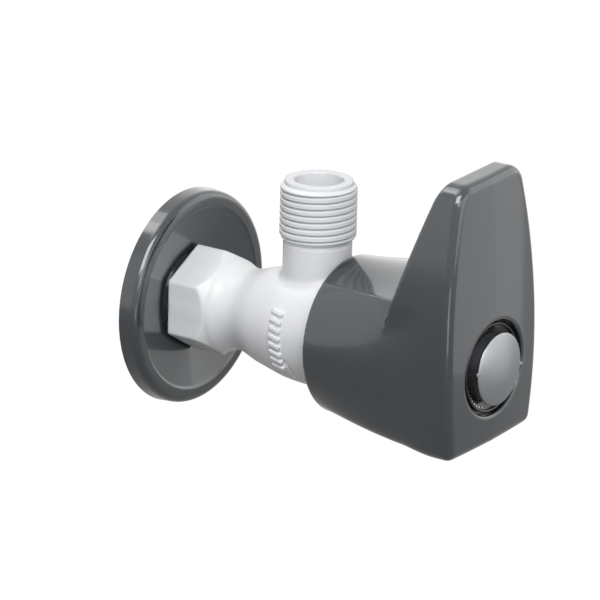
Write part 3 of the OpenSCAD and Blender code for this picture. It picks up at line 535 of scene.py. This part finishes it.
def threadTree():
    tree = bpy.data.node_groups.new("pipeThread", "GeometryNodeTree")
    face = tree.interface
    sizes = {}
    for label, key in (("Crest Radius", "crestR"), ("Depth", "depth"), ("Pitch", "pitch"),
                       ("Length", "length"), ("Run Out", "runOut"), ("Run In", "runIn")):
        socket = face.new_socket(label, in_out="INPUT", socket_type="NodeSocketFloat")
        socket.default_value = thread[key] * mm
        sizes[label] = socket.identifier
    socket = face.new_socket("Material", in_out="INPUT", socket_type="NodeSocketMaterial")
    sizes["Material"] = socket.identifier
    face.new_socket("Thread", in_out="OUTPUT", socket_type="NodeSocketGeometry")
    given = addNode(tree, "NodeGroupInput").outputs
    sheetLength = addNode(tree, "ShaderNodeMath", {0: given["Length"], 1: given["Pitch"]}, operation="ADD")
    turns = addNode(tree, "ShaderNodeMath", {0: sheetLength, 1: given["Pitch"]}, operation="DIVIDE")
    rows = addNode(tree, "ShaderNodeMath", {0: turns, 1: float(thread["rowsPerTurn"]), 2: 1.0},
                   operation="MULTIPLY_ADD")
    sheet = addNode(tree, "GeometryNodeMeshGrid", {"Size X": 2 * math.pi, "Size Y": sheetLength,
                                                   "Vertices X": thread["around"] + 1, "Vertices Y": rows})
    at = addNode(tree, "ShaderNodeSeparateXYZ", {0: addNode(tree, "GeometryNodeInputPosition")}).outputs
    climb = addNode(tree, "ShaderNodeMath", {0: at["X"], 1: given["Pitch"]}, operation="MULTIPLY")
    climb = addNode(tree, "ShaderNodeMath", {0: climb, 1: 2 * math.pi}, operation="DIVIDE")
    height = addNode(tree, "ShaderNodeMath", {0: at["Y"], 1: climb}, operation="ADD")
    half = addNode(tree, "ShaderNodeMath", {0: given["Length"], 1: 0.5}, operation="MULTIPLY")
    minus = addNode(tree, "ShaderNodeMath", {0: half, 1: -1.0}, operation="MULTIPLY")
    height = addNode(tree, "ShaderNodeMath", {0: height, 1: minus}, operation="MAXIMUM")
    height = addNode(tree, "ShaderNodeMath", {0: height, 1: half}, operation="MINIMUM")
    beat = addNode(tree, "ShaderNodeMath", {0: at["Y"], 1: given["Pitch"]}, operation="DIVIDE")
    wave = addNode(tree, "ShaderNodeMath", {0: beat, 1: 0.5}, operation="PINGPONG")
    ridge = addNode(tree, "ShaderNodeMapRange", {"Value": wave, "From Min": thread["rootEnd"],
                                                 "From Max": thread["crestStart"]},
                    interpolation_type="SMOOTHSTEP")
    above = addNode(tree, "ShaderNodeMath", {0: height, 1: half}, operation="ADD")
    below = addNode(tree, "ShaderNodeMath", {0: half, 1: height}, operation="SUBTRACT")
    fadeLow = addNode(tree, "ShaderNodeMapRange", {"Value": above, "From Max": given["Run In"]},
                      interpolation_type="SMOOTHSTEP")
    fadeHigh = addNode(tree, "ShaderNodeMapRange", {"Value": below, "From Max": given["Run Out"]},
                       interpolation_type="SMOOTHSTEP")
    fade = addNode(tree, "ShaderNodeMath", {0: fadeLow, 1: fadeHigh}, operation="MULTIPLY")
    rise = addNode(tree, "ShaderNodeMath", {0: ridge, 1: fade}, operation="MULTIPLY")
    rise = addNode(tree, "ShaderNodeMath", {0: rise, 1: 1.0}, operation="SUBTRACT")
    radius = addNode(tree, "ShaderNodeMath", {0: rise, 1: given["Depth"], 2: given["Crest Radius"]},
                     operation="MULTIPLY_ADD")
    cosine = addNode(tree, "ShaderNodeMath", {0: at["X"]}, operation="COSINE")
    sine = addNode(tree, "ShaderNodeMath", {0: at["X"]}, operation="SINE")
    x = addNode(tree, "ShaderNodeMath", {0: radius, 1: cosine}, operation="MULTIPLY")
    y = addNode(tree, "ShaderNodeMath", {0: radius, 1: sine}, operation="MULTIPLY")
    wound = addNode(tree, "ShaderNodeCombineXYZ", {"X": x, "Y": y, "Z": height})
    outer = addNode(tree, "GeometryNodeSetPosition", {"Geometry": sheet, "Position": wound})
    merged = addNode(tree, "GeometryNodeMergeByDistance", {"Geometry": outer,
                                                           "Distance": thread["weld"] * mm})
    smoothed = addNode(tree, "GeometryNodeSetShadeSmooth", {"Geometry": merged})
    real = addNode(tree, "GeometryNodeRealizeInstances", {"Geometry": smoothed})
    painted = addNode(tree, "GeometryNodeSetMaterial", {"Geometry": real, "Material": given["Material"]})
    addNode(tree, "NodeGroupOutput", {0: painted})
    return tree, sizes


threadNodes, threadSizes = threadTree()


# Runs a node tree on an empty object and returns its result as a plain mesh object
def builtByNodes(name, tree, settings, place=Matrix()):
    base = bpy.data.objects.new(name, bpy.data.meshes.new(name + "Base"))
    bpy.context.collection.objects.link(base)
    modifier = base.modifiers.new("shape", "NODES")
    modifier.node_group = tree
    for identifier, value in settings.items():
        modifier[identifier] = value
    shape = bpy.data.meshes.new_from_object(base.evaluated_get(bpy.context.evaluated_depsgraph_get()))
    base.modifiers.remove(modifier)
    shape.transform(place)
    base.data = shape
    return base


def windThread(name, length, place):
    settings = {threadSizes["Length"]: length * mm, threadSizes["Material"]: whiteAcetal}
    piece = builtByNodes(name, threadNodes, settings, place)
    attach(piece, "valve_body")


outletMiddle = (valve["threadLow"] + valve["threadTop"]) / 2
# Turned so that its crests stand at the photograph's heights on the side that faces the camera
crestTurns = (outletMiddle - valve["threadCrest"]) / thread["pitch"] + 0.5
windThread("outletThread", valve["threadTop"] - valve["threadLow"],
           Matrix.Translation(Vector((0, -valve["outletDepth"], outletMiddle)) * mm)
           @ Matrix.Rotation(math.radians(thread["facing"] + 360 * crestTurns), 4, "Z"))
inletMiddle = valve["inletLength"] - valve["inletNose"] - valve["inletThreadLength"] / 2
windThread("inletThread", valve["inletThreadLength"],
           Matrix.Translation(Vector((0, inletMiddle, 0)) * mm) @ Matrix.Rotation(math.radians(-90), 4, "X"))
print("threads made")


# Plain raised bars in a row round the main axis: on the barrel's left side, and in the black ring
def barRowTree():
    tree = bpy.data.node_groups.new("barRow", "GeometryNodeTree")
    face = tree.interface
    keys = {}
    for label, kind in (("Count", "Int"), ("Radius", "Float"), ("Depth", "Float"), ("Start", "Float"),
                        ("Step", "Float"), ("Bar Size", "Vector"), ("Bar Turn", "Vector"),
                        ("Material", "Material")):
        keys[label] = face.new_socket(label, in_out="INPUT", socket_type="NodeSocket" + kind).identifier
    face.new_socket("Bars", in_out="OUTPUT", socket_type="NodeSocketGeometry")
    given = addNode(tree, "NodeGroupInput").outputs
    index = addNode(tree, "GeometryNodeInputIndex")
    angle = addNode(tree, "ShaderNodeMath", {0: index, 1: given["Step"], 2: given["Start"]},
                    operation="MULTIPLY_ADD")
    cosine = addNode(tree, "ShaderNodeMath", {0: angle}, operation="COSINE")
    sine = addNode(tree, "ShaderNodeMath", {0: angle}, operation="SINE")
    x = addNode(tree, "ShaderNodeMath", {0: given["Radius"], 1: cosine}, operation="MULTIPLY")
    y = addNode(tree, "ShaderNodeMath", {0: given["Depth"], 1: -1.0}, operation="MULTIPLY")
    z = addNode(tree, "ShaderNodeMath", {0: given["Radius"], 1: sine}, operation="MULTIPLY")
    spot = addNode(tree, "ShaderNodeCombineXYZ", {"X": x, "Y": y, "Z": z})
    lean = addNode(tree, "ShaderNodeMath", {0: math.pi / 2, 1: angle}, operation="SUBTRACT")
    outward = addNode(tree, "ShaderNodeCombineXYZ", {"Y": lean})
    line = addNode(tree, "GeometryNodeMeshLine", {"Count": given["Count"]})
    row = addNode(tree, "GeometryNodeSetPosition", {"Geometry": line, "Position": spot})
    block = addNode(tree, "GeometryNodeMeshCube", {"Size": given["Bar Size"], "Vertices X": 4,
                                                   "Vertices Y": 6, "Vertices Z": 4})
    soft = addNode(tree, "GeometryNodeSubdivisionSurface", {"Mesh": block, "Level": 1})
    bar = addNode(tree, "GeometryNodeTransform", {"Geometry": soft, "Rotation": given["Bar Turn"]})
    copies = addNode(tree, "GeometryNodeInstanceOnPoints", {"Points": row, "Instance": bar,
                                                            "Rotation": outward})
    real = addNode(tree, "GeometryNodeRealizeInstances", {"Geometry": copies})
    smoothed = addNode(tree, "GeometryNodeSetShadeSmooth", {"Geometry": real})
    painted = addNode(tree, "GeometryNodeSetMaterial", {"Geometry": smoothed, "Material": given["Material"]})
    addNode(tree, "NodeGroupOutput", {0: painted})
    return tree, keys


barNodes, barKeys = barRowTree()


# Sizes of a bar are round the axis, along it and away from it
def barRow(name, body, material, row):
    values = {"Count": row["count"], "Radius": row["radius"] * mm, "Depth": row["depth"] * mm,
              "Start": math.radians(row["start"]), "Step": math.radians(row["step"]),
              "Bar Size": [size * mm for size in row["size"]],
              "Bar Turn": [math.radians(turn) for turn in row["turn"]], "Material": material}
    piece = builtByNodes(name, barNodes, {barKeys[label]: value for label, value in values.items()})
    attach(piece, body)


barrelBars = {"count": 8, "radius": 16.05, "depth": 42.4, "start": 156, "step": 8,
              "size": (1.3, 4.0, 2.0), "turn": (-4.8, 0, -12)}
barRow("barrelBars", "valve_body", whiteAcetal, barrelBars)
print("raised bars made")

# Wall flange: a thin dished cover
flange = {"r": 30.1, "height": 5.4, "lipW": 4.6, "step": 1.1, "wall": 1.8, "holeR": 10.8975,
          "collarW": 1.5, "collarTop": 3.35, "collarFoot": 1.0, "collarEdge": 0.3, "edgeR": 2.2,
          "draft": 0.25, "lipInset": 0.6, "shoulderR": 1.0, "shoulderTurn": 35, "hollowR": 1.5,
          "dishTurn": 12, "dishEnd": (0.6, 0.1), "backFoot": 1.0, "backThin": 0.9, "backEdge": 0.6}


# Front and back of the flange as (radius, depth) pairs
def flangeOutline():
    f = flange
    edgeFrom = f["height"] - f["edgeR"]
    lipIn, stepLow = f["r"] - f["lipW"], f["height"] - f["step"]
    dishIn, dishLow = f["holeR"] + f["collarW"], f["collarTop"] - f["collarFoot"]
    backR, backTop = f["r"] - f["wall"], f["height"] - f["wall"]
    backIn = dishIn + f["wall"]
    front = [(f["r"], 0)] + arc((f["r"] - f["draft"] - f["edgeR"], edgeFrom), f["edgeR"], 0, 90, 12)
    # a soft shoulder leads from the lip down into the dish
    front += arc((lipIn + f["lipInset"], f["height"] - f["shoulderR"]), f["shoulderR"],
                 90, 90 + f["shoulderTurn"], 7)
    x, y = front[-1]
    turned = math.radians(f["shoulderTurn"])
    x, y = x - f["hollowR"] * math.sin(turned), y + f["hollowR"] * math.cos(turned)
    front += arc((x, y), f["hollowR"], f["shoulderTurn"] - 90, f["dishTurn"] - 90, 6)[1:]
    front += [(dishIn + f["dishEnd"][0], dishLow + f["dishEnd"][1]), (dishIn, dishLow)]
    front += [(dishIn, f["collarTop"] - f["collarEdge"]), (dishIn - f["collarEdge"], f["collarTop"]),
              (f["holeR"], f["collarTop"])]
    back = [(f["holeR"], 0), (backIn, 0), (backIn + f["backFoot"], dishLow - f["wall"] * f["backThin"]),
            (lipIn - f["wall"] / 2, stepLow - f["wall"]), (lipIn + f["wall"] / 2, backTop),
            (backR - f["backEdge"], backTop), (backR, backTop - f["backEdge"]), (backR, 0)]
    return front + back


wallFlange = lathe("wallFlange", flangeOutline(), greyAbs, around=192)
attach(wallFlange, "flange_set")
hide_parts("wall_flange")

# Button: a black ring in the handle's well and a satin chrome dome
button = {"floor": 98.0, "ringR": 13.15, "ringIn": 9.35, "ringH": 4.6, "lipW": 0.8, "dishH": 1.8,
          "dishTop": (0.2, 1.0), "grooveW": 0.75, "grooveFrom": 100.6, "domeR": 9.95, "domeFrom": 104.9,
          "domeH": 1.5, "domeShare": 0.97, "domeEdge": [(0.25, 0.6), (0, 0.3), (0.05, 0.05)],
          "plugR": 9.2, "plugWall": 1.4, "plugFloor": 90.0, "plugEdge": 0.6, "under": 1.2}


# The ring has a groove round its outside, a rounded lip and a dish that falls to the dome
def ringOutline():
    b = button
    top = b["floor"] + b["ringH"]
    lipOut = b["ringR"] - b["grooveW"]
    lip = arc((lipOut - b["lipW"] / 2, top - b["lipW"] / 2), b["lipW"] / 2, 0, 180, 10)
    lipIn = lipOut - b["lipW"]
    foot = [(b["ringIn"], b["floor"]), (b["ringR"], b["floor"]), (b["ringR"], b["grooveFrom"]),
            (lipOut, b["grooveFrom"])]
    dish = [(lipIn, top - b["lipW"]), (lipIn - b["dishTop"][0], top - b["dishTop"][1]),
            (b["ringIn"], top - b["dishH"])]
    return foot + lip + dish


indicatorRing = lathe("indicatorRing", ringOutline(), blackAbs, around=128)
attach(indicatorRing, "handle_set")
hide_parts("indicator_ring")


# From the axis below the dome, round the hollow plug and the dome's rim, to the dome's top
def capOutline():
    b = button
    curveR = (b["domeR"] ** 2 + b["domeH"] ** 2) / (2 * b["domeH"])
    half = math.degrees(math.asin(b["domeR"] / curveR))
    boreR, under = b["plugR"] - b["plugWall"], b["domeFrom"] - b["under"]
    centre = b["domeFrom"] + b["domeH"] - curveR
    dome = [(curveR * math.sin(math.radians(a)), centre + curveR * math.cos(math.radians(a)))
            for a in np.linspace(half * b["domeShare"], 0, 20)]
    plug = [(0, under), (boreR - b["plugEdge"], under), (boreR, under - b["plugEdge"]),
            (boreR, b["plugFloor"]), (b["plugR"], b["plugFloor"]), (b["plugR"], under)]
    rim = [(b["domeR"] - inward, b["domeFrom"] - down) for inward, down in b["domeEdge"]]
    return plug + rim + dome[:-1] + [(0, b["domeFrom"] + b["domeH"])]


buttonCap = lathe("buttonCap", capOutline(), satinChrome, around=128, closed=False)
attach(buttonCap, "handle_set")
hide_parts("button_cap")

# Small plated parts of the button: dashes on the ring's lower left, and two pips at the dome's edge
ringDashes = {"count": 9, "radius": 11.1, "depth": 101.35, "start": 198, "step": 7,
              "size": (0.6, 0.8, 1.1), "turn": (0, 0, 0)}
barRow("ringDashes", "handle_set", satinChrome, ringDashes)
domePips = {"count": 2, "radius": 10.1, "depth": 104.75, "start": 175, "step": 180,
            "size": (1.0, 0.6, 1.5), "turn": (0, 0, 0)}
barRow("domePips", "handle_set", satinChrome, domePips)
print("flange and button made")

# Pieces that aren't replaced keep their own shapes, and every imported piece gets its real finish
finishes = {"brass": turnedBrass, "stainless": stainlessSteel, "white_ceramic": aluminaCeramic,
            "black_rubber": rubberEpdm, "white_nylon": naturalAcetal, "white_plastic": whiteAcetal,
            "grey_plastic": greyAbs, "black_plastic": blackAbs, "chrome": satinChrome}
for row in frame["record"]["subparts"]:
    node = frame["nodes"][row["node"]]
    node.data.materials.clear()
    node.data.materials.append(finishes[row["material_slot"]])
print("finishes set on the packed pieces")

# Floor, light and camera
studio = {"floorZ": -0.14, "floorSize": 8.0, "floorColour": "#8C8C8C", "glow": 1.09, "cameraGlow": 0.92,
          "glossNear": 0.16, "glossFar": 0.85, "glossReach": 1.7, "worldLight": 0.1,
          "lampAim": (0, -0.045, 0.01)}

floorMaterial = newMaterial("paleFloor")
tree = floorMaterial.node_tree
seen = addNode(tree, "ShaderNodeLightPath").outputs
paint = addNode(tree, "ShaderNodeBsdfDiffuse", {"Color": linearColour(studio["floorColour"])})
glow = addNode(tree, "ShaderNodeEmission", {"Color": (1, 1, 1, 1), "Strength": studio["glow"]})
# Reflections of the floor grow lighter away from the part, so that they fade softly up to the horizon
away = addNode(tree, "ShaderNodeVectorMath", {0: addNode(tree, "ShaderNodeTexCoord").outputs["Object"]},
               operation="LENGTH")
mirrored = addNode(tree, "ShaderNodeMapRange", {"Value": away.outputs["Value"],
                                                "From Max": studio["glossReach"],
                                                "To Min": studio["glossNear"],
                                                "To Max": studio["glossFar"]})
mirrored = addNode(tree, "ShaderNodeMath", {0: seen["Is Glossy Ray"], 1: mirrored}, operation="MULTIPLY")
direct = addNode(tree, "ShaderNodeMath", {0: seen["Is Camera Ray"], 1: seen["Is Transmission Ray"]},
                 operation="MAXIMUM")
direct = addNode(tree, "ShaderNodeMath", {0: direct, 1: studio["cameraGlow"]}, operation="MULTIPLY")
share = addNode(tree, "ShaderNodeMath", {0: direct, 1: mirrored}, operation="MAXIMUM")
whole = addNode(tree, "ShaderNodeMixShader", {0: share, 1: paint, 2: glow})
addNode(tree, "ShaderNodeOutputMaterial", {"Surface": whole})
side, level = studio["floorSize"] / 2 / mm, studio["floorZ"] / mm
floor = meshObject("floor", [[-side, -side, level], [side, -side, level], [side, side, level],
                             [-side, side, level]], [[0, 1, 2, 3]], floorMaterial)

world = bpy.data.worlds.new("studioWorld")
bpy.context.scene.world = world
world.use_nodes = True
tree = world.node_tree
tree.nodes.clear()
seen = addNode(tree, "ShaderNodeLightPath").outputs
whiteRay = addNode(tree, "ShaderNodeMath", {0: seen["Is Camera Ray"], 1: seen["Is Glossy Ray"]},
                   operation="MAXIMUM")
whiteRay = addNode(tree, "ShaderNodeMath", {0: whiteRay, 1: seen["Is Transmission Ray"]},
                   operation="MAXIMUM")
strength = addNode(tree, "ShaderNodeMapRange", {"Value": whiteRay, "To Min": studio["worldLight"],
                                                "To Max": 1.0})
sky = addNode(tree, "ShaderNodeBackground", {"Color": (1, 1, 1, 1), "Strength": strength})
addNode(tree, "ShaderNodeOutputWorld", {"Surface": sky})

# Softboxes, with places in metres and power in watts
lamps = [
    {"name": "keySoftbox", "place": (-0.68, -0.45, 0.82), "size": 0.7, "power": 9.6},
    {"name": "overheadSoftbox", "place": (-0.2, 0.3, 1.1), "size": 0.5, "power": 1.3},
    {"name": "wallSoftbox", "place": (-0.05, 0.6, 0.9), "size": 0.5, "power": 1.6},
    {"name": "leftFrontSoftbox", "place": (-0.6, -0.9, 0.4), "size": 0.5, "power": 1.8},
    {"name": "frontSoftbox", "place": (0.15, -0.9, 0.1), "size": 0.7, "power": 1.7},
    {"name": "lowSoftbox", "place": (0.3, -0.36, -0.08), "size": 0.2, "power": 0.06},
    {"name": "edgeSoftbox", "place": (-0.25, -0.42, -0.11), "size": 0.12, "power": 0.08},
    {"name": "rightSoftbox", "place": (0.85, -0.6, 0.4), "size": 0.8, "power": 1.6},
    {"name": "backSoftbox", "place": (0.7, 0.7, 0.35), "size": 0.8, "power": 0.3},
    {"name": "leftSoftbox", "place": (-0.9, 0.65, 0.25), "size": 1.3, "power": 1.2},
]
for row in lamps:
    lamp = bpy.data.lights.new(row["name"], "AREA")
    lamp.shape, lamp.size, lamp.energy = "SQUARE", row["size"], row["power"]
    holder = bpy.data.objects.new(row["name"], lamp)
    holder.location = row["place"]
    aim = Vector(studio["lampAim"]) - Vector(row["place"])
    holder.rotation_euler = aim.to_track_quat("-Z", "Y").to_euler()
    holder.visible_camera = False
    bpy.context.collection.objects.link(holder)

# The photograph's viewpoint: azimuth from the front, elevation and roll in degrees
view = {"azimuth": -54.40253, "elevation": 17.3337, "roll": 1.34297, "aim": (0, -0.03899, 0.00603),
        "distance": 1.57768, "lens": 347.56, "sensorWidth": 36}
a, e = math.radians(view["azimuth"]), math.radians(view["elevation"])
back = Vector((math.sin(a) * math.cos(e), -math.cos(a) * math.cos(e), math.sin(e)))
right = Vector((math.cos(a), math.sin(a), 0))
turn = Matrix.Rotation(math.radians(view["roll"]), 3, back)
right = turn @ right
up = back.cross(right)
camera = bpy.data.objects.new("camera", bpy.data.cameras.new("camera"))
camera.data.lens = view["lens"]
camera.data.sensor_width = view["sensorWidth"]
facing = Matrix((right, up, back)).transposed().to_4x4()
camera.matrix_world = Matrix.Translation(Vector(view["aim"]) + back * view["distance"]) @ facing
bpy.context.collection.objects.link(camera)
bpy.context.scene.camera = camera
bpy.context.scene.view_settings.view_transform = "Standard"
print("studio ready")
